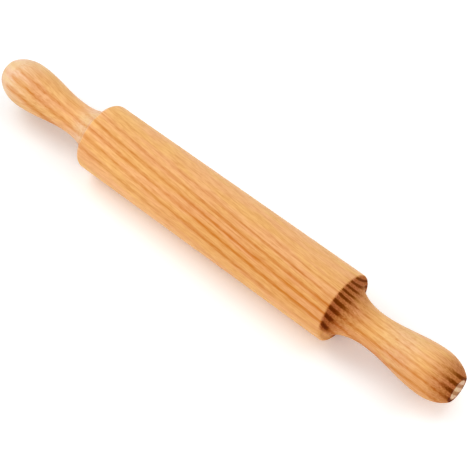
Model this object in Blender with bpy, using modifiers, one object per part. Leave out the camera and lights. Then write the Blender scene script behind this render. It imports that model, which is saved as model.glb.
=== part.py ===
"""Rolling pin, turned on a lathe from one pine blank.

Frame: metres, +Z up. The pin lies along X on its barrel. The origin is on the surface
that it rests on, under the middle of its length. Both ends are alike.

The real pin is one piece of wood: the growth rings run on from the barrel, through the
hollow at its end and into each handle, with no seam, axle or bush. So it is one solid,
and what shapes it is its outline, which is drawn once, from the middle out to one tip.
"""

import math

import bmesh
import bpy

# Driving dimensions, in metres
BARREL_DIAMETER = 0.057
BARREL_LENGTH = 0.246      # from the end of one rim to the end of the other
RIM_ROUNDING = 0.0025      # radius on the barrel's two rims
COVE_LENGTH = 0.0275       # hollow between the rim and the neck, along the pin
NECK_DIAMETER = 0.0272     # thinnest place of a handle
SWELL_LENGTH = 0.0525      # from the neck to the widest place of the bulb
BULB_DIAMETER = 0.0382
TIP_LENGTH = 0.022         # from the bulb's widest place to the parted face
TIP_FACE_DIAMETER = 0.0214
TIP_FACE_EASING = 0.0008   # width of the sanded edge round the parted face

# How finely the curves are cut
SIDES = 64
RIM_STEPS = 4
COVE_STEPS = 11
SWELL_STEPS = 10
TIP_STEPS = 7
EASING_SEGMENTS = 2
EASED_EDGE_ANGLE = math.radians(30)
MERGE_DISTANCE = 0.00001

# Pine with a thin satin finish
PINE_COLOUR = (0.84, 0.40, 0.14, 1.0)
PINE_ROUGHNESS = 0.42

# Worked out from the dimensions above
BARREL_RADIUS = BARREL_DIAMETER / 2
NECK_RADIUS = NECK_DIAMETER / 2
BULB_RADIUS = BULB_DIAMETER / 2
TIP_FACE_RADIUS = TIP_FACE_DIAMETER / 2
BARREL_END = BARREL_LENGTH / 2
NECK_PLACE = BARREL_END + COVE_LENGTH
BULB_PLACE = NECK_PLACE + SWELL_LENGTH
TIP_PLACE = BULB_PLACE + TIP_LENGTH
COVE_TOP_RADIUS = BARREL_RADIUS - RIM_ROUNDING
HALF_FACET = math.pi / SIDES
AXIS_HEIGHT = BARREL_RADIUS * math.cos(HALF_FACET)


def clear_scene():
    """Remove what a new file holds."""
    for existing in list(bpy.data.objects):
        bpy.data.objects.remove(existing, do_unlink=True)


def rim_outline():
    """Quarter round from the barrel's side to its end."""
    points = []
    for step in range(RIM_STEPS + 1):
        angle = math.pi / 2 * step / RIM_STEPS
        along = BARREL_END - RIM_ROUNDING * (1 - math.sin(angle))
        radius = COVE_TOP_RADIUS + RIM_ROUNDING * math.cos(angle)
        points.append((along, radius))
    return points


def cove_outline():
    """Quarter of an ellipse, square to the axis at the rim and level at the neck."""
    depth = COVE_TOP_RADIUS - NECK_RADIUS
    points = []
    for step in range(1, COVE_STEPS + 1):
        angle = math.pi / 2 * step / COVE_STEPS
        along = BARREL_END + COVE_LENGTH * (1 - math.cos(angle))
        radius = COVE_TOP_RADIUS - depth * math.sin(angle)
        points.append((along, radius))
    return points


def swell_outline():
    """Half a cosine wave, level at the neck and level at the bulb."""
    rise = BULB_RADIUS - NECK_RADIUS
    points = []
    for step in range(1, SWELL_STEPS + 1):
        share = step / SWELL_STEPS
        along = NECK_PLACE + SWELL_LENGTH * share
        radius = NECK_RADIUS + rise * (1 - math.cos(math.pi * share)) / 2
        points.append((along, radius))
    return points


def tip_outline():
    """Ellipse from the bulb's widest place, cut off square by the parted face."""
    last_angle = math.acos(TIP_FACE_RADIUS / BULB_RADIUS)
    reach = TIP_LENGTH / math.sin(last_angle)
    points = []
    for step in range(1, TIP_STEPS + 1):
        angle = last_angle * step / TIP_STEPS
        along = BULB_PLACE + reach * math.sin(angle)
        radius = BULB_RADIUS * math.cos(angle)
        points.append((along, radius))
    return points


def half_outline():
    """Outline of the half at +X, from the centre of the tip's face to the middle of the barrel."""
    middle = [(0, BARREL_RADIUS)]
    centre = [(TIP_PLACE, 0)]
    outline = middle + rim_outline() + cove_outline() + swell_outline() + tip_outline() + centre
    # Turned about X, a line that runs inwards along the pin has its outer side outwards
    outline.reverse()
    return outline


def outline_mesh(name, points):
    """Mesh of one open line in the plane of X and Z, which a Screw modifier turns."""
    shape = bmesh.new()
    corners = [shape.verts.new((along, 0, radius)) for along, radius in points]
    for first, second in zip(corners, corners[1:]):
        shape.edges.new((first, second))
    mesh = bpy.data.meshes.new(name)
    shape.to_mesh(mesh)
    shape.free()
    return mesh


def add_turning(turned):
    """Turn the outline about the pin's own axis."""
    turning = turned.modifiers.new("turning", "SCREW")
    turning.axis = "X"
    turning.angle = 2 * math.pi
    turning.steps = SIDES
    turning.render_steps = SIDES
    turning.use_merge_vertices = True
    turning.merge_threshold = MERGE_DISTANCE
    turning.use_smooth_shade = True


def add_second_end(turned):
    """Mirror the turned half at the middle of the barrel."""
    second_end = turned.modifiers.new("second_end", "MIRROR")
    second_end.use_axis = (True, False, False)
    second_end.use_mirror_merge = True
    second_end.merge_threshold = MERGE_DISTANCE


def add_easing(turned):
    """Take the sharp edge off round both parted faces."""
    easing = turned.modifiers.new("easing", "BEVEL")
    easing.limit_method = "ANGLE"
    easing.angle_limit = EASED_EDGE_ANGLE
    easing.width = TIP_FACE_EASING
    easing.segments = EASING_SEGMENTS


def pine_material():
    """Light honey-coloured softwood."""
    material = bpy.data.materials.new("pine")
    material.use_nodes = True
    shader = material.node_tree.nodes["Principled BSDF"]
    shader.inputs["Base Color"].default_value = PINE_COLOUR
    shader.inputs["Roughness"].default_value = PINE_ROUGHNESS
    shader.inputs["Metallic"].default_value = 0
    material.diffuse_color = PINE_COLOUR
    return material


def turned_pin(collection):
    """The pin: barrel, coves, necks and bulbs in one turned piece."""
    mesh = outline_mesh("turned_pin", half_outline())
    mesh.materials.append(pine_material())
    turned = bpy.data.objects.new("turned_pin", mesh)
    collection.objects.link(turned)
    add_turning(turned)
    add_second_end(turned)
    add_easing(turned)
    # Half a facet of turn lays one flat facet of the barrel on the surface
    turned.rotation_euler = (HALF_FACET, 0, 0)
    turned.location = (0, 0, AXIS_HEIGHT)
    return turned


def main():
    """Build the pin in a collection of its own."""
    clear_scene()
    collection = bpy.data.collections.new("rolling_pin")
    bpy.context.scene.collection.children.link(collection)
    turned_pin(collection)


main()
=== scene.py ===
"""Looks of a rolling pin that is turned from one blank of pine.

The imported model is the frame: the pin lies along X on its barrel, in metres, with +Z up. The
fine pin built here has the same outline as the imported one, cut much more finely, and stands
for it. Its finish is a solid one: growth rings, fibres and resin canals run through the whole
blank, and each surface shows the cut that the lathe made through them.
"""

import logging
import math
from dataclasses import asdict, dataclass, field
from enum import Enum
from functools import partial, reduce
from typing import Union

import bmesh
import bpy
from mathutils import Matrix, Vector


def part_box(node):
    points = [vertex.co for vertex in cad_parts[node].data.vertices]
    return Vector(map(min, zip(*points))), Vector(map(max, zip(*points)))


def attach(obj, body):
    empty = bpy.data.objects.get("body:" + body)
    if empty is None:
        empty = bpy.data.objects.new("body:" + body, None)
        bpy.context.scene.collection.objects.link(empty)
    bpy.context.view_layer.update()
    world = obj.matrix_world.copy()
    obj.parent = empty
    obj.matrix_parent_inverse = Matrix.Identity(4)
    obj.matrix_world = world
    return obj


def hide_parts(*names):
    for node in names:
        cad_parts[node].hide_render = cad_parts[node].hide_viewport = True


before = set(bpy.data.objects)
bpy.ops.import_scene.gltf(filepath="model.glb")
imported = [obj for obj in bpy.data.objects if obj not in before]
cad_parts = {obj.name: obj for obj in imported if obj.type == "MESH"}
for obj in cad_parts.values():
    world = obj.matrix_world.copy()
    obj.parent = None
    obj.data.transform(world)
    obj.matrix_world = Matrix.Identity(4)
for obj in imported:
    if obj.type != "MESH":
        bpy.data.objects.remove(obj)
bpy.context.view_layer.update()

MILLIMETRES_IN_A_METRE = 1000.0
CAD_NODE = "turned_pin"
BODY = "root"

FULL_CHANNEL = 255.0       # brightest level of a colour's channel, as the eye reads it
SCREEN_TOE = 0.04045       # screen coding is a straight line up to here
SCREEN_TOE_SLOPE = 12.92
SCREEN_OFFSET = 0.055      # and past it a power of the level with this added
SCREEN_POWER = 2.4
OPAQUE = 1.0

MIDDLE = 0.5               # level that noise and streaks swing round
BEND_DETAIL = 1.0          # finer layers in the noise that bends and fades the rings
STREAK_DETAIL = 2.0        # and in the noise under the streaks
STAIN_LAYERS = 2           # a stain laid on more than once takes blue out faster than red does

RINGS_TURN = math.radians(151.2)    # about the pin's axis, from Y and Z to across the rings and in
HANDLE_FROM = 118.0        # millimetres from the middle, where the wood begins to turn to a handle's
HANDLE_TO = 150.0          # and where it has done so

log = logging.getLogger("rolling_pin")

Socket = bpy.types.NodeSocket
Value = Union[Socket, float, tuple]
Point = tuple[float, float]    # of the outline: its place along the pin, and its radius


class Sum(Enum):
    """What a maths node does with its two values."""

    ADD = "ADD"
    SUBTRACT = "SUBTRACT"
    MULTIPLY = "MULTIPLY"
    DIVIDE = "DIVIDE"
    LEAST = "MINIMUM"
    MOST = "MAXIMUM"
    WHOLE_PART = "FLOOR"
    PART_PAST_WHOLE = "FRACT"
    SIZE_WITHOUT_SIGN = "ABSOLUTE"


class VectorSum(Enum):
    """What a vector maths node does with its two vectors, and the output that its result is at."""

    DIFFERENCE = ("SUBTRACT", "Vector")
    PRODUCT = ("MULTIPLY", "Vector")
    LIKENESS = ("DOT_PRODUCT", "Value")
    LENGTH = ("LENGTH", "Value")


class Blend(Enum):
    """How a mix node lays its second colour over its first."""

    COVER = "MIX"
    TINT = "MULTIPLY"


class Finish(Enum):
    """The pin's two surfaces, by their material index."""

    TURNED = 0
    PARTED = 1


@dataclass(frozen=True)
class Change:
    """How one value goes from a first level to a second as it follows another value."""

    start: float            # of the value that is followed, where the change begins
    end: float              # and where it is over
    low: float = 0.0        # level before it
    high: float = 1.0       # level past it
    smooth: bool = True     # S-shaped, or else straight


@dataclass(frozen=True)
class Colour:
    """A colour as the eye reads it, from 0 to 255 a channel."""

    red: float
    green: float
    blue: float

    def linear(self) -> tuple[float, ...]:
        """Red, green, blue and alpha in linear light, as shaders take them."""
        channels = (self.red, self.green, self.blue)
        return (*(self._decoded(channel / FULL_CHANNEL) for channel in channels), OPAQUE)

    def stain_to(self, darker: "Colour") -> tuple[float, ...]:
        """Tint that turns this colour into a darker one once all its layers are laid on."""
        pairs = zip(self.linear(), darker.linear())
        return tuple((after / before) ** (1 / STAIN_LAYERS) for before, after in pairs)

    @staticmethod
    def _decoded(share: float) -> float:
        """One channel from screen coding to linear light."""
        curve = ((share + SCREEN_OFFSET) / (1 + SCREEN_OFFSET)) ** SCREEN_POWER
        return share / SCREEN_TOE_SLOPE if share <= SCREEN_TOE else curve


class Wiring:
    """Places nodes in one tree and links them, so that a finish reads as a list of steps."""

    NOISE_SCALE = 1.0
    MIX_UNDER = 6            # a mix node's sockets for colours come after those for other values
    MIX_OVER = 7
    MIX_RESULT = 2

    def __init__(self, tree: bpy.types.NodeTree) -> None:
        """Start on an empty or a fresh tree.

        Args:
            tree: The node tree of a material, a world or a group.
        """
        self.tree = tree

    def feed(self, socket: Socket, value: Value) -> None:
        """Link a socket into another one, or set it to a plain value.

        Args:
            socket: The input to fill.
            value: Another node's output, or the value itself.
        """
        if isinstance(value, Socket):
            self.tree.links.new(value, socket)
        else:
            socket.default_value = value

    def fill(self, node: bpy.types.Node, values: dict[str, Value]) -> None:
        """Feed a node's inputs by their names."""
        for name, value in values.items():
            self.feed(node.inputs[name], value)

    def place(self, kind: str, *values: Value) -> bpy.types.Node:
        """Place a node.

        Args:
            kind: What it is.
            values: What its first inputs get, in their order.

        Returns:
            The node.
        """
        node = self.tree.nodes.new(kind)
        for socket, value in zip(node.inputs, values):
            self.feed(socket, value)
        return node

    def sum(self, what: Sum, first: Value, second: Value = 0.0) -> Socket:
        """Work two values together.

        Args:
            what: What is done with them.
            first: The first value.
            second: The second value, which some sums leave out.

        Returns:
            The result.
        """
        node = self.place("ShaderNodeMath", first, second)
        node.operation = what.value
        return node.outputs[0]

    def product(self, *values: Value) -> Socket:
        """All the values multiplied."""
        return reduce(partial(self.sum, Sum.MULTIPLY), values)

    def total(self, *values: Value) -> Socket:
        """All the values added up."""
        return reduce(partial(self.sum, Sum.ADD), values)

    def swing(self, value: Value) -> Socket:
        """How far a value that goes from 0 to 1 lies off its middle."""
        return self.sum(Sum.SUBTRACT, value, MIDDLE)

    def vector_sum(self, what: VectorSum, first: Value, second: Value = (0.0, 0.0, 0.0)) -> Socket:
        """Work two vectors together.

        Args:
            what: What is done with them.
            first: The first vector.
            second: The second vector, which a length leaves out.

        Returns:
            The result, which is a vector or a plain value.
        """
        node = self.place("ShaderNodeVectorMath", first, second)
        node.operation, result = what.value
        return node.outputs[result]

    def ramp(self, value: Value, start: Value, end: Value, low: Value = 0.0, high: Value = 1.0,
             smooth: bool = True) -> Socket:
        """Make a value that goes from low to high as another one goes from start to end.

        Args:
            value: The value to follow.
            start: Where the change begins.
            end: Where it is over.
            low: The result before start.
            high: The result past end.
            smooth: True for an S-shaped change, false for a straight one.

        Returns:
            The result.
        """
        node = self.place("ShaderNodeMapRange", value, start, end, low, high)
        node.interpolation_type = "SMOOTHSTEP" if smooth else "LINEAR"
        return node.outputs["Result"]

    def follow(self, value: Value, change: Change) -> Socket:
        """The level that a change gives at a value."""
        return self.ramp(value, change.start, change.end, change.low, change.high, change.smooth)

    def split(self, vector: Socket) -> tuple[Socket, ...]:
        """The three parts of a vector."""
        return tuple(self.place("ShaderNodeSeparateXYZ", vector).outputs)

    def join(self, *parts: Value) -> Socket:
        """A vector of three parts."""
        return self.place("ShaderNodeCombineXYZ", *parts).outputs[0]

    def noise(self, spot: Socket, detail: float) -> Socket:
        """Make smooth noise, with features about one unit apart.

        Args:
            spot: The vector that it is read at.
            detail: How many finer layers it has.

        Returns:
            A value from 0 to 1, about one half on the whole.
        """
        node = self.place("ShaderNodeTexNoise", spot)
        self.fill(node, {"Scale": self.NOISE_SCALE, "Detail": detail})
        return node.outputs[0]

    def mix(self, how: Blend, share: Value, under: Value, over: Value) -> Socket:
        """Lay one colour over another.

        Args:
            how: How it is laid.
            share: How much of it shows.
            under: The colour below.
            over: The colour laid over it.

        Returns:
            The mixed colour.
        """
        node = self.place("ShaderNodeMix", share)
        node.data_type = "RGBA"
        node.blend_type = how.value
        self.feed(node.inputs[self.MIX_UNDER], under)
        self.feed(node.inputs[self.MIX_OVER], over)
        return node.outputs[self.MIX_RESULT]

    def use(self, group: bpy.types.NodeTree, **values: Value) -> dict[str, Socket]:
        """Place a group with its own values.

        Args:
            group: The group's tree.
            values: Its inputs by name.

        Returns:
            Its outputs by name.
        """
        node = self.place("ShaderNodeGroup")
        node.node_tree = group
        self.fill(node, values)
        return {socket.name: socket for socket in node.outputs}


class GroupWiring(Wiring):
    """The wiring of a node group, with its named inputs and outputs."""

    KINDS = {"vector": "NodeSocketVector", "value": "NodeSocketFloat"}

    def __init__(self, name: str, inputs: dict[str, str], outputs: dict[str, str]) -> None:
        """Make a new group.

        Args:
            name: The group's name.
            inputs: The kind of each input by its name.
            outputs: The kind of each output by its name.
        """
        super().__init__(bpy.data.node_groups.new(name, "ShaderNodeTree"))
        for way, sockets in (("INPUT", inputs), ("OUTPUT", outputs)):
            for label, kind in sockets.items():
                self.tree.interface.new_socket(label, in_out=way, socket_type=self.KINDS[kind])
        self.given = self.place("NodeGroupInput").outputs
        self.wanted = self.place("NodeGroupOutput").inputs

    def give(self, name: str, value: Value) -> None:
        """Link a value to one of the group's outputs."""
        self.feed(self.wanted[name], value)


class WoodWiring(GroupWiring):
    """The wiring of the group that knows the wood, with a place in the blank worked out.

    The place is in millimetres. Along is from the pin's middle, across is across the rings
    from its axis and away from the heart of the tree, and depth is in from the front of the
    barrel. Grown is across with the rings' run taken off, so that a ring has one value of it.
    """

    OUTPUTS = ("Late", "Strength", "Honey", "Pallor", "Thirst")

    def __init__(self, axis_height: float, barrel_radius: float, run: "RingRun") -> None:
        """Turn the group's position into a place in the blank.

        Args:
            axis_height: Of the pin's axis above the ground, in metres.
            barrel_radius: In metres.
            run: How the rings run through the blank.
        """
        outputs = {"Grain": "vector", **dict.fromkeys(self.OUTPUTS, "value")}
        super().__init__("growth_rings", {"Position": "vector"}, outputs)
        axis = (0.0, 0.0, axis_height)
        from_axis = self.vector_sum(VectorSum.DIFFERENCE, self.given["Position"], axis)
        front = (0.0, 0.0, barrel_radius * MILLIMETRES_IN_A_METRE)
        turn = (RINGS_TURN, 0.0, 0.0)
        scale = (MILLIMETRES_IN_A_METRE,) * 3
        self.spot = self.place("ShaderNodeMapping", from_axis, front, turn, scale).outputs[0]
        self.along, self.across, self.depth = self.split(self.spot)
        self.grown = run.grown(self)


@dataclass(frozen=True)
class Wander:
    """How a ring strays from its even run, in bends of one size. Lengths are in millimetres."""

    reach: float      # it strays up to so far either way
    length: float     # of a bend, along the pin
    width: float      # and across it

    def shift(self, wood: WoodWiring) -> Socket:
        """How far the ring has strayed at a place."""
        bends = (1 / self.length, 1 / self.width, 1 / self.width)
        noise = wood.noise(wood.vector_sum(VectorSum.PRODUCT, wood.spot, bends), BEND_DETAIL)
        return wood.product(wood.swing(noise), 2 * self.reach)


@dataclass(frozen=True)
class RingRun:
    """How the tree's rings run through the blank. Lengths are in millimetres.

    The heart of the tree lies some way off to one side of the pin, so the rings cross it as
    nearly flat sheets. They drift across the pin because the blank was sawn at a small angle
    to the trunk.
    """

    drift: float = 0.077            # across the pin, for each millimetre along it
    sweep: float = 0.0000353        # bend of that drift, for each square millimetre
    snake: float = 0.00000023       # bend that changes sides at the middle, for each cubic millimetre
    lean: float = 0.121             # across, for each millimetre in from the front of the barrel
    dish: float = 0.00368           # roundness of the rings, which a distant heart gives
    spread: float = 0.0033          # how the rings widen towards the back of the barrel
    taper: float = 0.000774         # how they narrow towards +X
    handle_shift: Change = Change(-HANDLE_TO, -HANDLE_FROM, -0.7, 0.0)    # across, in the -X handle
    wanders: tuple[Wander, ...] = (
        Wander(reach=0.22, length=55.0, width=16.0),
        Wander(reach=0.09, length=12.0, width=2.6),
        Wander(reach=0.18, length=24.0, width=0.7),
    )
    width: float = 6.6              # of one year's ring
    first_line: float = 3.07        # place of the dark line that the years are counted from
    poor_within: float = -16.0      # wood that grew further in than this has narrower years
    poor_gain: Change = Change(195.0, 216.0, 0.073, 0.0)    # rings gained a millimetre, by place along
    late_share: float = 0.60        # share of a year at which its dark line lies

    def grown(self, wood: WoodWiring) -> Socket:
        """Tell how far out from the heart the wood grew, with the rings' run taken off.

        Args:
            wood: The wiring, with the place in the blank.

        Returns:
            The distance, from the pin's axis.
        """
        squared = wood.product(wood.along, wood.along)
        return wood.total(
            wood.across,
            wood.product(wood.along, -self.drift),
            wood.product(squared, self.sweep),
            wood.product(squared, wood.along, self.snake),
            wood.product(wood.depth, -self.lean),
            wood.product(wood.depth, wood.depth, self.dish),
            wood.product(wood.depth, wood.across, -self.spread),
            wood.product(wood.along, wood.across, self.taper),
            wood.follow(wood.along, self.handle_shift),
            *(wander.shift(wood) for wander in self.wanders),
        )

    def years(self, wood: WoodWiring) -> Socket:
        """Count the years outwards, so that each one's dark line lies at late_share.

        Args:
            wood: The wiring, with the place in the blank.

        Returns:
            The years, with the part of one that has gone by.
        """
        even = wood.product(wood.sum(Sum.SUBTRACT, wood.grown, self.first_line), 1 / self.width)
        further_in = wood.sum(Sum.LEAST, wood.sum(Sum.SUBTRACT, wood.grown, self.poor_within), 0.0)
        gained = wood.product(further_in, wood.follow(wood.along, self.poor_gain))
        return wood.total(even, gained, self.late_share)


@dataclass(frozen=True)
class RingLines:
    """How dark each year's line is, and how strongly it shows on side grain.

    Lengths are in millimetres. Places across the pin grow towards its lower front side.
    """

    summer: Change = Change(-HANDLE_TO, -HANDLE_FROM, 0.05, 0.20)    # share of a year, by place along
    poor_summer: float = 0.32       # the same in poor years, which leaves a thinner dark line
    autumn: float = 0.62            # share of a year at which it is darkest
    spring: Change = Change(0.60, 0.96, 1.0, 0.0)    # darkness that is left as the next one begins
    poor_until: float = -24.0       # years are poor that grew further in than this
    poor_over: float = -12.0        # and good ones that grew further out than this
    poor_strength: float = 0.60
    upper: Change = Change(-20.0, -5.0, 0.35)            # strength by place across the pin
    under: Change = Change(15.0, 27.0, 1.0, 0.30)        # and once more, weaker on its lower side, where the paler wood is painted floor light
    barrel: Change = Change(-90.0, 100.0, 0.44, 0.51)    # by place along it
    handles: Change = Change(HANDLE_FROM, HANDLE_TO, 1.0, 0.74)    # by distance from its middle
    outer: Change = Change(2.0, 16.0, 0.66, 1.75)        # and in the -X handle by how far out they grew
    fickle: Change = Change(0.30, 0.62, 0.78)            # strength of one stretch of a line, by noise
    fickle_length: float = 120.0    # length over which one line's strength changes
    fickle_step: float = 0.83       # how unlike its neighbour a line is

    def lateness(self, wood: WoodWiring, through: Value) -> Socket:
        """Tell how dark the wood is at some time of its year.

        Args:
            wood: The wiring, with the place in the blank.
            through: Share of the year that has gone by.

        Returns:
            The darkness, from 0 in spring to 1 in autumn.
        """
        good_summer = wood.follow(wood.along, self.summer)
        summer = wood.ramp(wood.grown, self.poor_until, self.poor_over, self.poor_summer, good_summer)
        return wood.product(wood.ramp(through, summer, self.autumn), wood.follow(through, self.spring))

    def strength(self, wood: WoodWiring, year: Value) -> Socket:
        """Tell how strongly a year's line shows on side grain.

        Args:
            wood: The wiring, with the place in the blank.
            year: Number of the year.

        Returns:
            The strength, 1 for a line at its full darkness.
        """
        from_middle = wood.sum(Sum.SIZE_WITHOUT_SIGN, wood.along)
        outer = wood.follow(wood.grown, self.outer)
        stretch = wood.product(wood.along, 1 / self.fickle_length)
        line = wood.product(year, self.fickle_step)
        return wood.product(
            wood.ramp(wood.grown, self.poor_until, self.poor_over, self.poor_strength, 1.0),
            wood.follow(wood.across, self.upper),
            # weaker lines on the lower side: painted floor light
            wood.follow(wood.across, self.under),
            wood.follow(wood.along, self.barrel),
            wood.follow(from_middle, self.handles),
            wood.ramp(wood.along, -HANDLE_TO, -HANDLE_FROM, outer, 1.0),
            wood.follow(wood.noise(wood.join(stretch, line, 0.0), BEND_DETAIL), self.fickle),
        )


@dataclass(frozen=True)
class WoodChanges:
    """How the wood changes through the blank, whatever its rings, with painted floor light on its lower side
    and painted sheen towards its -X end.

    Lengths are in millimetres. Places across the pin grow towards its lower front side.
    """

    honey: Change = Change(-16.0, 8.0)                   # share of honey colour, by how far out it grew
    honey_drift: float = 0.038                           # by which that drifts less than the rings do
    barrel_honey: Change = Change(-90.0, 35.0, 0.42)     # the share once more, by place along the pin
    lower_honey: Change = Change(17.0, 28.0, 1.0, 0.30)  # and by place across it, less on the lower side, which is painted floor light
    thirst: Change = Change(20.5, 23.0, 1.0, 0.05)       # finish that end grain takes in, by place across, falling off on the lower side as painted floor light
    handle_thirst: Change = Change(-HANDLE_TO, -HANDLE_FROM, 0.30)    # and along, less at the -X end, where the paler look is painted sheen
    pallor: Change = Change(-HANDLE_FROM, -215.0, 0.0, 0.32, smooth=False)    # share of a paler colour towards the -X end, which is painted sheen
    tip_pallor: Change = Change(-184.0, -206.0, 0.0, 0.40)    # and more of that painted sheen at the -X tip

    def honey_share(self, wood: WoodWiring) -> Socket:
        """Tell how much of its deeper, honey colour the wood has.

        Args:
            wood: The wiring, with the place in the blank.

        Returns:
            The share, from 0 to 1.
        """
        outwards = wood.sum(Sum.ADD, wood.grown, wood.product(wood.along, self.honey_drift))
        return wood.product(
            wood.follow(outwards, self.honey),
            wood.follow(wood.along, self.barrel_honey),
            # less honey colour on the lower side: painted floor light
            wood.follow(wood.across, self.lower_honey),
        )

    def thirst_share(self, wood: WoodWiring) -> Socket:
        """How much of the finish the end grain takes in, less on the lower side and at the -X end, for
        painted floor light and painted sheen.
        """
        across = wood.follow(wood.across, self.thirst)
        return wood.product(across, wood.follow(wood.along, self.handle_thirst))

    def pallor_share(self, wood: WoodWiring) -> Socket:
        """How much of a paler colour the wood has towards the -X tip, which is painted sheen."""
        return wood.total(wood.follow(wood.along, self.pallor), wood.follow(wood.along, self.tip_pallor))


@dataclass(frozen=True)
class Blank:
    """The blank of pine that the pin is turned from. Its own two lengths are in metres."""

    axis_height: float        # of the pin's axis above the ground
    barrel_radius: float
    run: RingRun = RingRun()
    lines: RingLines = RingLines()
    changes: WoodChanges = WoodChanges()

    def group(self) -> bpy.types.NodeTree:
        """Make the node group that tells what the wood is like at each place in the blank.

        Returns:
            The group: Position in; Grain, Late, Strength, Honey, Pallor and Thirst
            out. Grain is a place in millimetres along the fibres, across the rings and within them. Late
            goes from 0 in pale spring wood to 1 at the dark end of a year, and Strength tells how much
            of that side grain shows, less on the pin's lower side for painted floor light. Honey goes
            from 0 in pale wood to 1 in honey-coloured wood, less on the lower side for the same painted
            floor light. Pallor is the share of a paler colour towards the -X tip, which is painted
            sheen, and Thirst tells how much finish its end grain takes in, less on the
            lower side and at the -X end, for painted floor light and painted sheen.
        """
        wood = WoodWiring(self.axis_height, self.barrel_radius, self.run)
        years = self.run.years(wood)
        wood.give("Grain", wood.join(wood.along, wood.grown, wood.depth))
        wood.give("Late", self.lines.lateness(wood, wood.sum(Sum.PART_PAST_WHOLE, years)))
        wood.give("Strength", self.lines.strength(wood, wood.sum(Sum.WHOLE_PART, years)))
        wood.give("Honey", self.changes.honey_share(wood))
        wood.give("Pallor", self.changes.pallor_share(wood))
        wood.give("Thirst", self.changes.thirst_share(wood))
        return wood.tree


@dataclass(frozen=True)
class CutAcross:
    """Where the lathe cut across the fibres.

    The fibres dive a little out of the pin's front towards its +X end. Where the surface
    meets them end on, the open wood drinks in finish and goes dark. Where the surface faces
    -X, a paler colour is painted sheen.
    """

    dive: float = 0.35        # tilt of the fibres out of the pin's front, for each length along
    drift: float = -0.12      # tilt of the fibres across the rings
    dark: Change = Change(0.275, 0.86, smooth=False)    # by share of the surface's normal along the fibres
    pale: Change = Change(0.0, -0.35, 0.0, 0.80)        # painted sheen, by share of the normal along the pin towards -X

    def group(self) -> bpy.types.NodeTree:
        """Make the node group that tells how the surface cuts the fibres.

        Returns:
            The group: Normal in; Dark and Pale out. Both are 0 on side grain, and on end grain
            Dark goes up to 1 and Pale up to the share of the pale colour that lifted wood has.
        """
        wiring = GroupWiring("cut_across", {"Normal": "vector"}, {"Dark": "value", "Pale": "value"})
        normal = wiring.given["Normal"]
        fibre = Matrix.Rotation(-RINGS_TURN, 3, "X") @ Vector((1.0, self.drift, -self.dive)).normalized()
        likeness = wiring.vector_sum(VectorSum.LIKENESS, normal, tuple(fibre))
        wiring.give("Dark", wiring.follow(wiring.sum(Sum.SIZE_WITHOUT_SIGN, likeness), self.dark))
        wiring.give("Pale", wiring.follow(wiring.split(normal)[0], self.pale))
        return wiring.tree


@dataclass(frozen=True)
class Streaks:
    """One family of streaks along the grain. Lengths are in millimetres."""

    length: float
    width: float
    shift: float       # makes the family unlike the others
    thin: float        # noise at which a streak begins to show
    full: float        # noise at which it shows fully

    @staticmethod
    def group() -> bpy.types.NodeTree:
        """Make the node group for streaks that run with the grain.

        Returns:
            The group: Grain and each of a family's own values in; Streak out, which goes from 0
            to 1 as the noise under it goes from Thin to Full.
        """
        values = dict.fromkeys(("Length", "Width", "Shift", "Thin", "Full"), "value")
        wiring = GroupWiring("grain_streaks", {"Grain": "vector", **values}, {"Streak": "value"})
        given = wiring.given
        along, across, depth = wiring.split(given["Grain"])
        spot = wiring.join(
            wiring.sum(Sum.DIVIDE, along, given["Length"]),
            wiring.sum(Sum.DIVIDE, across, given["Width"]),
            wiring.sum(Sum.ADD, wiring.sum(Sum.DIVIDE, depth, given["Width"]), given["Shift"]),
        )
        wiring.give("Streak", wiring.ramp(wiring.noise(spot, STREAK_DETAIL), given["Thin"], given["Full"]))
        return wiring.tree


FIBRES = Streaks(length=26.0, width=0.45, shift=0.0, thin=0.30, full=0.70)
DASHES = Streaks(length=8.0, width=1.2, shift=20.0, thin=0.32, full=0.68)
FALSE_RINGS = Streaks(length=70.0, width=1.0, shift=40.0, thin=0.42, full=0.68)
CANALS = Streaks(length=5.0, width=0.28, shift=90.0, thin=0.64, full=0.74)
ROSY_PATCHES = Streaks(length=45.0, width=8.0, shift=70.0, thin=0.35, full=0.65)


@dataclass(frozen=True)
class Tone:
    """Pine's two colours under one kind of cut."""

    spring: Colour
    late: Colour

    def between(self, wiring: Wiring, share: Value) -> Socket:
        """The colour at a share of late wood's darkness."""
        return wiring.mix(Blend.COVER, share, self.spring.linear(), self.late.linear())


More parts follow.
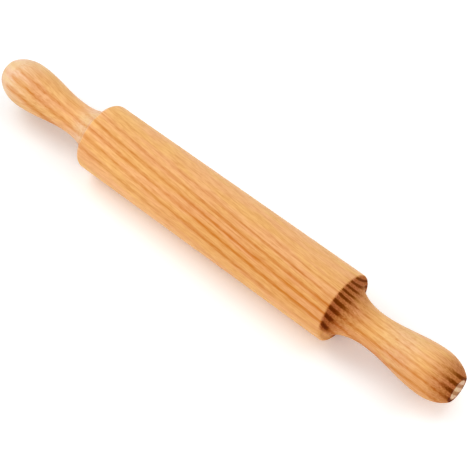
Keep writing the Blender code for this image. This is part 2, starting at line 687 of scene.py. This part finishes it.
@dataclass(frozen=True)
class Pine:
    """One finish on the pine: its colours, and how strongly each detail shows."""

    side: Tone
    dark_end: Tone
    # paler end grain colours, which are painted sheen where the surface faces -X and towards the -X tip
    pale_end: Tone
    golden: Colour = Colour(254, 250, 227)       # tint of the wood between the rosy patches
    rosy: Colour = Colour(255, 246, 244)         # and on them
    ground: float = 0.06                         # how much of late wood's darkness all the wood has
    honey: float = 0.37                          # and how much more of it honey-coloured wood has,
    fibre_contrast: float = 0.14                 # a fibre against the next,
    dash_contrast: float = 0.22                  # a dash against the next,
    false_ring_contrast: float = 0.20            # a false ring
    canal_contrast: float = 0.28                 # and a resin canal
    line: Change = Change(0.25, 1.0, smooth=False)    # darkness of side grain, by lateness
    bleaching: Change = Change(1.0, 1.80, 1.0, 0.20)  # share of it that shows through the painted sheen, by the sheen's share
    end_line: Change = Change(0.0, 0.54)         # darkness of end grain, by lateness
    stripes: Change = Change(0.44, 1.0)          # strength of its stripes, by share of end grain
    roughness: float = 0.40
    roughness_spread: float = 0.10               # between one fibre and the next
    end_roughness: float = 0.25                  # added on end grain
    gloss: float = 0.02                          # of the bare wood, as a specular level
    coat: float = 0.14                           # of the satin finish, on side grain only
    coat_gone: float = 0.30                      # share of end grain at which the wood has drunk it all in
    coat_roughness: float = 0.30
    mark_length: float = 0.0009                  # of one mark of the lathe along the pin, in metres
    mark_detail: float = 1.0                     # finer layers in the marks
    mark_share: float = 0.25                     # how deep one is beside a fibre
    bump_strength: float = 0.30
    bump_depth: float = 0.00003                  # in metres


TURNED_PINE = Pine(
    side=Tone(spring=Colour(255, 203, 142), late=Colour(208, 125, 46)),
    dark_end=Tone(spring=Colour(199, 125, 77), late=Colour(130, 66, 6)),
    # painted sheen: the paler colours of end grain towards the -X end
    pale_end=Tone(spring=Colour(247, 217, 184), late=Colour(222, 152, 84)),
)
PARTED_PINE = Pine(
    side=Tone(spring=Colour(255, 222, 194), late=Colour(206, 150, 112)),
    dark_end=Tone(spring=Colour(255, 222, 194), late=Colour(208, 156, 120)),
    # painted sheen colours on the -X parted face, the same as the face's own
    pale_end=Tone(spring=Colour(255, 222, 194), late=Colour(206, 150, 112)),
    ground=0.0,
    honey=0.0,
    roughness=0.60,
    coat=0.0,
)


class SurfaceWiring(Wiring):
    """The wiring of one surface's material, with what its wood is like worked out."""

    def __init__(self, material: bpy.types.Material, figure: "PineFigure", pine: Pine) -> None:
        """Work out what the wood is like.

        Args:
            material: The surface's material.
            figure: The node groups that the surfaces share.
            pine: The surface's finish.
        """
        super().__init__(material.node_tree)
        self.figure = figure
        self.pine = pine
        place = self.place("ShaderNodeTexCoord").outputs
        self.spot = place["Object"]
        self.rings = self.use(figure.rings, Position=self.spot)
        self.cut = self.use(figure.cut, Normal=place["Normal"])
        self.fibres = self._streaks(FIBRES)
        self.streaks = self.total(
            self.product(self.swing(self.fibres), pine.fibre_contrast),
            self.product(self.swing(self._streaks(DASHES)), pine.dash_contrast),
            self.product(self._streaks(FALSE_RINGS), pine.false_ring_contrast),
            self.product(self._streaks(CANALS), pine.canal_contrast),
        )

    def _streaks(self, family: Streaks) -> Socket:
        """One family of streaks, from 0 to 1."""
        values = {name.capitalize(): value for name, value in asdict(family).items()}
        return self.use(self.figure.streaks, Grain=self.rings["Grain"], **values)["Streak"]

    def _stained(self, share: Value, wood: Value, stain: Value) -> Socket:
        """Lay all the layers of a stain on the wood.

        Args:
            share: How much of the stain the wood takes.
            wood: The wood's colour.
            stain: The tint of one layer.

        Returns:
            The stained colour.
        """
        for _ in range(STAIN_LAYERS):
            wood = self.mix(Blend.TINT, share, wood, stain)
        return wood

    def colour(self) -> Socket:
        """Colour the wood by its lateness and by how the fibres are cut, with painted sheen towards the -X
        end and painted floor light on the lower side.

        Returns:
            The colour.
        """
        pine = self.pine
        rings = self.rings
        on_side = self.total(
            self.product(self.follow(rings["Late"], pine.line), rings["Strength"]),
            self.product(rings["Honey"], pine.honey),
            self.streaks,
            pine.ground,
        )
        # painted sheen: a paler colour where the surface faces -X and towards the -X tip, which also washes
        # out the lines
        painted_sheen = self.sum(Sum.ADD, self.cut["Pale"], rings["Pallor"])
        on_painted_sheen = self.product(on_side, self.follow(painted_sheen, pine.bleaching))
        side = pine.side.between(self, on_side)
        pale = pine.pale_end.between(self, on_painted_sheen)
        wood = self.mix(Blend.COVER, painted_sheen, side, pale)
        # end grain darkens less on the lower side and at the -X end, for painted floor light and painted
        # sheen
        darkening = self.product(self.cut["Dark"], rings["Thirst"])
        end_line = self.follow(rings["Late"], pine.end_line)
        stripe = self.product(end_line, self.follow(darkening, pine.stripes))
        striped = self.product(darkening, self.sum(Sum.ADD, stripe, self.streaks))
        wood = self._stained(darkening, wood, pine.side.spring.stain_to(pine.dark_end.spring))
        wood = self._stained(striped, wood, pine.dark_end.spring.stain_to(pine.dark_end.late))
        rosy = self._streaks(ROSY_PATCHES)
        return self.mix(Blend.TINT, 1.0, wood, Tone(pine.golden, pine.rosy).between(self, rosy))

    def roughness(self) -> Socket:
        """Tell how rough the surface is, by its fibres and their cut.

        Returns:
            The roughness.
        """
        fibres = self.product(self.swing(self.fibres), self.pine.roughness_spread)
        ends = self.product(self.cut["Dark"], self.pine.end_roughness)
        return self.total(self.pine.roughness, fibres, ends)

    def coat(self) -> Socket:
        """How much of the finish stays on the surface, which end grain drinks in."""
        return self.ramp(self.cut["Dark"], 0.0, self.pine.coat_gone, self.pine.coat, 0.0)

    def relief(self) -> Socket:
        """Raise the fibres, the late wood and the fine rings round the pin that the gouge left.

        Returns:
            The surface's normal.
        """
        pine = self.pine
        along = self.product(self.split(self.spot)[0], 1 / pine.mark_length)
        marks = self.product(self.noise(self.join(along, 0.0, 0.0), pine.mark_detail), pine.mark_share)
        height = self.total(self.fibres, self.rings["Late"], marks)
        bump = self.place("ShaderNodeBump")
        self.fill(bump, {"Height": height, "Strength": pine.bump_strength, "Distance": pine.bump_depth})
        return bump.outputs[0]


class PineFigure:
    """Builds the shared node groups once, and the materials that use them."""

    def __init__(self, blank: Blank) -> None:
        """Make the groups.

        Args:
            blank: The blank that the wood belongs to.
        """
        self.rings = blank.group()
        self.streaks = Streaks.group()
        self.cut = CutAcross().group()

    def material(self, name: str, pine: Pine) -> bpy.types.Material:
        """Make the material of one surface of the pin.

        Args:
            name: The material's name.
            pine: Its finish.

        Returns:
            The material.
        """
        material = bpy.data.materials.new(name)
        material.use_nodes = True
        surface = SurfaceWiring(material, self, pine)
        surface.fill(material.node_tree.nodes["Principled BSDF"], {
            "Base Color": surface.colour(),
            "Roughness": surface.roughness(),
            "Coat Weight": surface.coat(),
            "Coat Roughness": pine.coat_roughness,
            "Specular IOR Level": pine.gloss,
            "Normal": surface.relief(),
        })
        return material


@dataclass
class RollingPin:
    """The pin: barrel, coves, necks and bulbs, turned from one blank.

    Lengths are in metres. The overall length, the barrel's radius and the axis come from the
    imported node, and the rest are the maker's own sizes. Each stretch of the outline is a curve
    whose share goes from 0 at its inner end to 1 at its outer one.
    """

    lowest: Vector
    highest: Vector
    barrel_length: float = 0.246
    rim_rounding: float = 0.0025
    cove_length: float = 0.0275
    neck_radius: float = 0.0136
    swell_length: float = 0.0525
    bulb_radius: float = 0.0191
    tip_face_radius: float = 0.0107
    tip_face_easing: float = 0.0008
    face_inset: float = 0.0024           # width of a ring at the parted face's edge that takes the turned finish rather than the face's own
    sides: int = 192
    barrel_steps: int = 12
    rim_steps: int = 8
    cove_steps: int = 30
    swell_steps: int = 36
    tip_steps: int = 24
    easing_segments: int = 4
    sharp_angle: float = math.radians(30)
    merge_distance: float = 0.000001
    barrel_radius: float = field(init=False)
    axis_height: float = field(init=False)
    rim_radius: float = field(init=False)
    barrel_end: float = field(init=False)
    neck_place: float = field(init=False)
    bulb_place: float = field(init=False)
    tip_place: float = field(init=False)

    def __post_init__(self) -> None:
        """Work out the radii and the places along the pin."""
        self.barrel_radius = (self.highest.z - self.lowest.z) / 2
        self.axis_height = (self.highest.z + self.lowest.z) / 2
        self.rim_radius = self.barrel_radius - self.rim_rounding
        self.barrel_end = self.barrel_length / 2
        self.neck_place = self.barrel_end + self.cove_length
        self.bulb_place = self.neck_place + self.swell_length
        self.tip_place = (self.highest.x - self.lowest.x) / 2

    def _barrel(self, share: float) -> Point:
        """Straight side, from the middle to where the rim starts to round."""
        return (self.barrel_end - self.rim_rounding) * share, self.barrel_radius

    def _rim(self, share: float) -> Point:
        """Quarter round from the barrel's side to its end."""
        angle = math.pi / 2 * share
        along = self.barrel_end - self.rim_rounding * (1 - math.sin(angle))
        return along, self.barrel_radius - self.rim_rounding * (1 - math.cos(angle))

    def _cove(self, share: float) -> Point:
        """Quarter of an ellipse, square to the axis at the rim and level at the neck."""
        angle = math.pi / 2 * share
        along = self.barrel_end + self.cove_length * (1 - math.cos(angle))
        return along, self.rim_radius - (self.rim_radius - self.neck_radius) * math.sin(angle)

    def _swell(self, share: float) -> Point:
        """Half a cosine wave, level at the neck and level at the bulb."""
        rise = (self.bulb_radius - self.neck_radius) * (1 - math.cos(math.pi * share)) / 2
        return self.neck_place + self.swell_length * share, self.neck_radius + rise

    def _tip(self, share: float) -> Point:
        """Draw the ellipse from the bulb's widest place, cut off square by the parted face.

        Args:
            share: Of the way along the curve.

        Returns:
            The point there.
        """
        last_angle = math.acos(self.tip_face_radius / self.bulb_radius)
        reach = (self.tip_place - self.bulb_place) / math.sin(last_angle)
        angle = last_angle * share
        return self.bulb_place + reach * math.sin(angle), self.bulb_radius * math.cos(angle)

    def _outline(self) -> list[Point]:
        """Draw half of the pin's outline, from the middle of the barrel to the centre of one end.

        Returns:
            Its points. The last but one lies just inside the edge of the parted face.
        """
        stretches = (
            (self._barrel, self.barrel_steps),
            (self._rim, self.rim_steps),
            (self._cove, self.cove_steps),
            (self._swell, self.swell_steps),
            (self._tip, self.tip_steps),
        )
        points = [self._barrel(0.0)]
        for curve, steps in stretches:
            points += [curve(step / steps) for step in range(1, steps + 1)]
        face_ring = (self.tip_place, self.tip_face_radius - self.face_inset)
        return [*points, face_ring, (self.tip_place, 0.0)]

    def _turned_mesh(self) -> bmesh.types.BMesh:
        """Spin the outline round the axis, and mirror it to make both halves.

        Returns:
            The closed mesh, with its faces pointing out.
        """
        shape = bmesh.new()
        height = self.axis_height
        corners = [shape.verts.new((along, 0.0, height + radius)) for along, radius in self._outline()]
        edges = [shape.edges.new(pair) for pair in zip(corners, corners[1:])]
        bmesh.ops.spin(
            shape,
            geom=corners + edges,
            cent=(0.0, 0.0, height),
            axis=(1.0, 0.0, 0.0),
            angle=2 * math.pi,
            steps=self.sides,
            use_merge=True,
        )
        half = shape.verts[:] + shape.edges[:] + shape.faces[:]
        bmesh.ops.mirror(shape, geom=half, axis="X", merge_dist=self.merge_distance)
        bmesh.ops.remove_doubles(shape, verts=shape.verts[:], dist=self.merge_distance)
        bmesh.ops.recalc_face_normals(shape, faces=shape.faces[:])
        return shape

    def _ease_faces(self, shape: bmesh.types.BMesh) -> None:
        """Take the sharp edge off round both parted faces.

        Args:
            shape: The pin's mesh.
        """
        closed = [edge for edge in shape.edges if edge.is_manifold]
        sharp = [edge for edge in closed if edge.calc_face_angle() > self.sharp_angle]
        bmesh.ops.bevel(
            shape,
            geom=sharp,
            offset=self.tip_face_easing,
            offset_type="OFFSET",
            affect="EDGES",
            segments=self.easing_segments,
            profile=0.5,
            material=-1,
        )

    def _mark_faces(self, shape: bmesh.types.BMesh) -> None:
        """Give the parted faces their own finish, inside a ring at their edge that keeps the turned finish.

        Args:
            shape: The pin's mesh.
        """
        for face in shape.faces:
            middle = face.calc_center_median()
            at_tip = abs(middle.x) > self.tip_place - self.merge_distance
            from_axis = math.hypot(middle.y, middle.z - self.axis_height)
            bare = at_tip and from_axis < self.tip_face_radius - self.face_inset
            face.material_index = Finish.PARTED.value if bare else Finish.TURNED.value
            face.smooth = True

    def build(self, figure: PineFigure) -> bpy.types.Object:
        """Make the piece and dress it.

        Args:
            figure: The pine that it is turned from.

        Returns:
            The finished piece.
        """
        shape = self._turned_mesh()
        self._ease_faces(shape)
        self._mark_faces(shape)
        mesh = bpy.data.meshes.new("pine_pin")
        shape.to_mesh(mesh)
        shape.free()
        mesh.materials.append(figure.material("turned_pine", TURNED_PINE))
        mesh.materials.append(figure.material("parted_pine", PARTED_PINE))
        piece = bpy.data.objects.new("pine_pin", mesh)
        bpy.context.scene.collection.objects.link(piece)
        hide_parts(CAD_NODE)
        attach(piece, BODY)
        return piece


@dataclass(frozen=True)
class StudioCamera:
    """The camera, placed by what it looks at. Lengths are in metres and angles in degrees."""

    target: tuple[float, float, float] = (0.0160, 0.0013, 0.0214)
    azimuth: float = 41.53
    elevation: float = 53.69
    distance: float = 1.195
    lens: float = 121.3      # millimetres, on a sensor 36 mm wide

    def build(self) -> None:
        """Place the camera and make it the scene's own."""
        data = bpy.data.cameras.new("studio_camera")
        data.lens = self.lens
        camera = bpy.data.objects.new("studio_camera", data)
        bpy.context.scene.collection.objects.link(camera)
        turn = math.radians(self.azimuth)
        rise = math.radians(self.elevation)
        level = math.cos(rise)
        back = Vector((math.sin(turn) * level, -math.cos(turn) * level, math.sin(rise)))
        camera.location = Vector(self.target) + back * self.distance
        camera.rotation_mode = "QUATERNION"
        camera.rotation_quaternion = (-back).to_track_quat("-Z", "Y")
        bpy.context.scene.camera = camera


@dataclass(frozen=True)
class SoftLamp:
    """Large square lamp that faces the pin, and that leaves no bright patch in the finish."""

    name: str
    strength: float                              # level that it adds to a white surface facing it
    direction: tuple[float, float, float]        # from the pin
    distance: float = 1.6
    size: float = 0.9

    def build(self) -> None:
        """Place the lamp."""
        data = bpy.data.lights.new(self.name, "AREA")
        data.shape = "SQUARE"
        data.size = self.size
        data.energy = self.strength * (math.pi * self.distance) ** 2
        lamp = bpy.data.objects.new(self.name, data)
        bpy.context.scene.collection.objects.link(lamp)
        direction = Vector(self.direction).normalized()
        lamp.location = direction * self.distance
        lamp.rotation_mode = "QUATERNION"
        lamp.rotation_quaternion = (-direction).to_track_quat("-Z", "Y")
        lamp.visible_glossy = False


@dataclass(frozen=True)
class Studio:
    """White floor, even white surroundings and three large soft lamps. Lengths are in metres."""

    floor_size: float = 4.0
    floor_lit: tuple[float, float, float] = (0.88, 0.88, 0.88)        # as the light finds it
    floor_seen: tuple[float, float, float] = (1.185, 1.225, 1.24)     # over white, so thin shade looks white
    floor_afar: tuple[float, float, float] = (2.4, 2.4, 2.4)          # where the lamps light it less
    afar: Change = Change(0.35, 1.2)                   # by distance from the pin's middle
    handle_lift: Change = Change(-0.16, -0.12, 0.90)   # painted shadow: it is seen darker under one handle, along X,
    tip_lift: Change = Change(0.19, 0.215, 1.0, 1.12)  # painted light: brighter at the other one's tip, along X,
    back_lift: Change = Change(0.0, 0.03, 1.0, 1.08)   # and painted light: brighter behind the pin, along Y
    fill: float = 0.60                                 # light from the surroundings, where 1 is white
    lamps: tuple[SoftLamp, ...] = (
        SoftLamp(name="left", strength=0.24, direction=(-0.60, -0.10, 0.79), distance=1.0, size=0.56),
        SoftLamp(name="back", strength=0.14, direction=(0.25, 0.30, 0.92)),
        SoftLamp(name="front", strength=0.235, direction=(0.20, -0.85, 0.45)),
    )

    def build(self) -> None:
        """Make the floor, the world and the lamps."""
        self._floor()
        self._surroundings()
        for lamp in self.lamps:
            lamp.build()

    @staticmethod
    def _looked_at(wiring: Wiring) -> Socket:
        """Tell what the camera sees, straight or by way of a gloss or a glass, from what light finds.

        Args:
            wiring: The wiring of a material or of the world.

        Returns:
            1 where the camera looks and 0 for light.
        """
        path = wiring.place("ShaderNodeLightPath").outputs
        straight = wiring.sum(Sum.MOST, path["Is Camera Ray"], path["Is Glossy Ray"])
        return wiring.sum(Sum.MOST, straight, path["Is Transmission Ray"])

    def _floor_material(self) -> bpy.types.Material:
        """Make the floor's white, which is seen brighter than the light finds it, with a painted shadow
        under one handle and painted light at the other tip and behind the pin.

        Returns:
            The material.
        """
        material = bpy.data.materials.new("studio_floor")
        material.use_nodes = True
        wiring = Wiring(material.node_tree)
        place = wiring.place("ShaderNodeTexCoord").outputs["Object"]
        along, across, _ = wiring.split(place)
        afar = wiring.follow(wiring.vector_sum(VectorSum.LENGTH, place), self.afar)
        # painted shadow under one handle, and painted light that clears the shade at a tip and behind the
        # pin
        painted_floor_shading = wiring.product(
            wiring.follow(along, self.handle_lift),
            wiring.follow(along, self.tip_lift),
            wiring.follow(across, self.back_lift),
        )
        seen = wiring.mix(Blend.COVER, afar, (*self.floor_seen, OPAQUE), (*self.floor_afar, OPAQUE))
        seen = wiring.mix(Blend.TINT, 1.0, seen, painted_floor_shading)
        white = wiring.mix(Blend.COVER, self._looked_at(wiring), (*self.floor_lit, OPAQUE), seen)
        shader = material.node_tree.nodes["Principled BSDF"]
        wiring.fill(shader, {"Base Color": white, "Roughness": 1.0, "Specular IOR Level": 0.0})
        return material

    def _floor(self) -> None:
        """Lay the floor at the pin's lowest line, where it keeps the pin's shadow."""
        shape = bmesh.new()
        bmesh.ops.create_grid(shape, x_segments=1, y_segments=1, size=self.floor_size / 2)
        mesh = bpy.data.meshes.new("floor")
        shape.to_mesh(mesh)
        shape.free()
        mesh.materials.append(self._floor_material())
        floor = bpy.data.objects.new("floor", mesh)
        bpy.context.scene.collection.objects.link(floor)

    def _surroundings(self) -> None:
        """Make a world that lights softly from all sides, and that is plain white where it is seen."""
        world = bpy.data.worlds.new("studio")
        bpy.context.scene.world = world
        world.use_nodes = True
        wiring = Wiring(world.node_tree)
        strength = wiring.ramp(self._looked_at(wiring), 0.0, 1.0, self.fill, 1.0, smooth=False)
        white = (1.0, 1.0, 1.0, OPAQUE)
        wiring.fill(world.node_tree.nodes["Background"], {"Color": white, "Strength": strength})


def main() -> None:
    """Build the studio and the pin, and say what was made."""
    logging.basicConfig(level=logging.INFO, format="%(name)s: %(message)s")
    StudioCamera().build()
    Studio().build()
    pin = RollingPin(*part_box(CAD_NODE))
    figure = PineFigure(Blank(pin.axis_height, pin.barrel_radius))
    piece = pin.build(figure)
    log.info("%s: %d faces", piece.name, len(piece.data.polygons))
    bpy.context.scene.view_settings.view_transform = "Standard"


if __name__ == "__main__":
    main()
